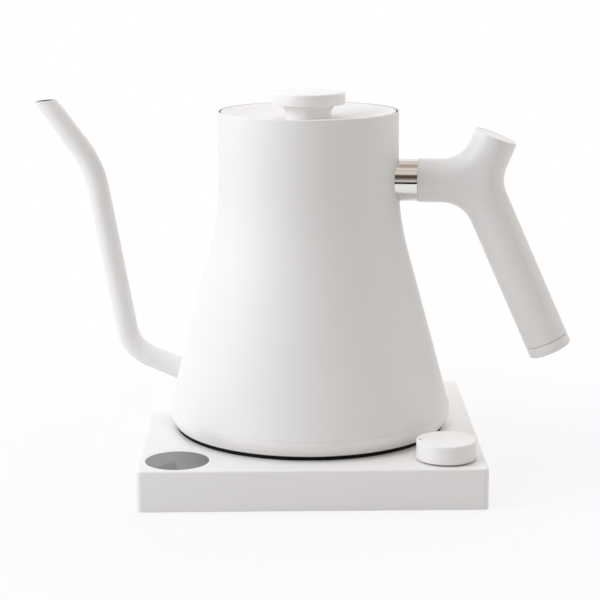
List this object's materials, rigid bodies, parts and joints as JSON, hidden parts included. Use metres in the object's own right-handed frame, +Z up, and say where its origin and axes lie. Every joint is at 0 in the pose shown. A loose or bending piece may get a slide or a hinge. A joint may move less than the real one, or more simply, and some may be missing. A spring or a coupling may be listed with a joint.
{
  "type": "electric gooseneck kettle",
  "caption": "Cone-shaped electric pour-over kettle with slim curved spout, forked counterweighted handle and lift-off lid, on a square power base with display and knob.",
  "frame": {"origin": "on the table, under the kettle's upright axis, which is also the middle of the square base and of its rubber foot ring", "axes": "+X from the spout side to the handle side along the base's front edge, +Y to the rear of the base where the cord gland is, +Z up"},
  "size_m": [0.2841, 0.1765, 0.1993],
  "materials": {
    "white_powder_coat": "matte white powder coat on steel",
    "white_shell_plastic": "matte white moulded plastic",
    "white_knob_plastic": "matte white moulded plastic",
    "white_handle_plastic": "satin white moulded plastic",
    "polished_steel": "polished stainless steel",
    "brushed_steel": "brushed stainless steel",
    "plain_steel": "plain zinc-plated steel",
    "cast_metal": "plain cast aluminium",
    "element_sheath": "heat-tinted steel sheath",
    "contact_brass": "plain brass",
    "black_plastic": "matte black moulded plastic",
    "foot_rubber": "matte black rubber",
    "silicone": "translucent grey silicone",
    "display_glass": "smoked glossy lens",
    "display_panel": "dark display module",
    "circuit_board": "green solder-masked board",
    "component_blue": "blue relay case",
    "component_tape": "yellow winding tape"
  },
  "bodies": {
    "base": {"base_cover": "white_shell_plastic", "base_floor": "black_plastic", "foot_ring": "foot_rubber", "base_screws": "plain_steel", "connector_socket": "black_plastic", "socket_screws": "plain_steel", "socket_contacts": "contact_brass", "display_lens": "display_glass", "display_panel": "display_panel", "control_board": "circuit_board", "power_board": "circuit_board", "board_screws": "plain_steel", "relay": "component_blue", "transformer": "component_tape", "encoder_body": "cast_metal", "hold_switch_body": "black_plastic", "unit_switch_body": "black_plastic", "cord_gland": "black_plastic"},
    "plunger": {"encoder_plunger": "black_plastic"},
    "knob": {"encoder_shaft": "cast_metal", "control_knob": "white_knob_plastic", "knob_dot": "black_plastic"},
    "hold": {"hold_slider": "black_plastic"},
    "unit": {"unit_button": "black_plastic"},
    "kettle": {"body_shell": "white_powder_coat", "spout": "white_powder_coat", "ferrule": "polished_steel", "handle_stud": "plain_steel", "handle_nut": "contact_brass", "handle_grip": "white_handle_plastic", "stub_cap": "white_handle_plastic", "grip_cap": "white_handle_plastic", "counterweight": "plain_steel", "water_floor": "brushed_steel", "heater_plate": "cast_metal", "heating_element": "element_sheath", "overheat_cutout": "black_plastic", "temperature_probe": "brushed_steel", "probe_seal": "silicone", "connector_plug": "black_plastic", "plug_contacts": "contact_brass", "bottom_band": "white_shell_plastic", "bottom_cover": "black_plastic", "cover_screws": "plain_steel"},
    "lid": {"lid_disc": "white_powder_coat", "lid_skirt": "brushed_steel", "lid_seal": "silicone", "lid_knob": "white_knob_plastic", "lid_screw": "plain_steel", "lid_washer": "plain_steel"}
  },
  "joints": [
    {"name": "kettle_lift", "type": "slide", "parent": "base", "child": "kettle", "axis": [0, 0, 1], "range_m": [0, 0.1]},
    {"name": "lid_lift", "type": "slide", "parent": "kettle", "child": "lid", "axis": [0, 0, 1], "range_m": [0, 0.05]},
    {"name": "knob_press", "type": "slide", "parent": "base", "child": "plunger", "axis": [0, 0, -1], "range_m": [0, 0.0005], "stiffness_N_per_m": 1500, "springref_m": -0.001},
    {"name": "knob_turn", "type": "hinge", "parent": "plunger", "child": "knob", "pos_m": [0.0676, -0.0689, 0.0213], "axis": [0, 0, 1], "continuous": true},
    {"name": "hold_slide", "type": "slide", "parent": "base", "child": "hold", "axis": [1, 0, 0], "range_m": [0, 0.003]},
    {"name": "unit_press", "type": "slide", "parent": "base", "child": "unit", "axis": [0, -1, 0], "range_m": [0, 0.0006], "stiffness_N_per_m": 800, "springref_m": -0.0005}
  ]
}
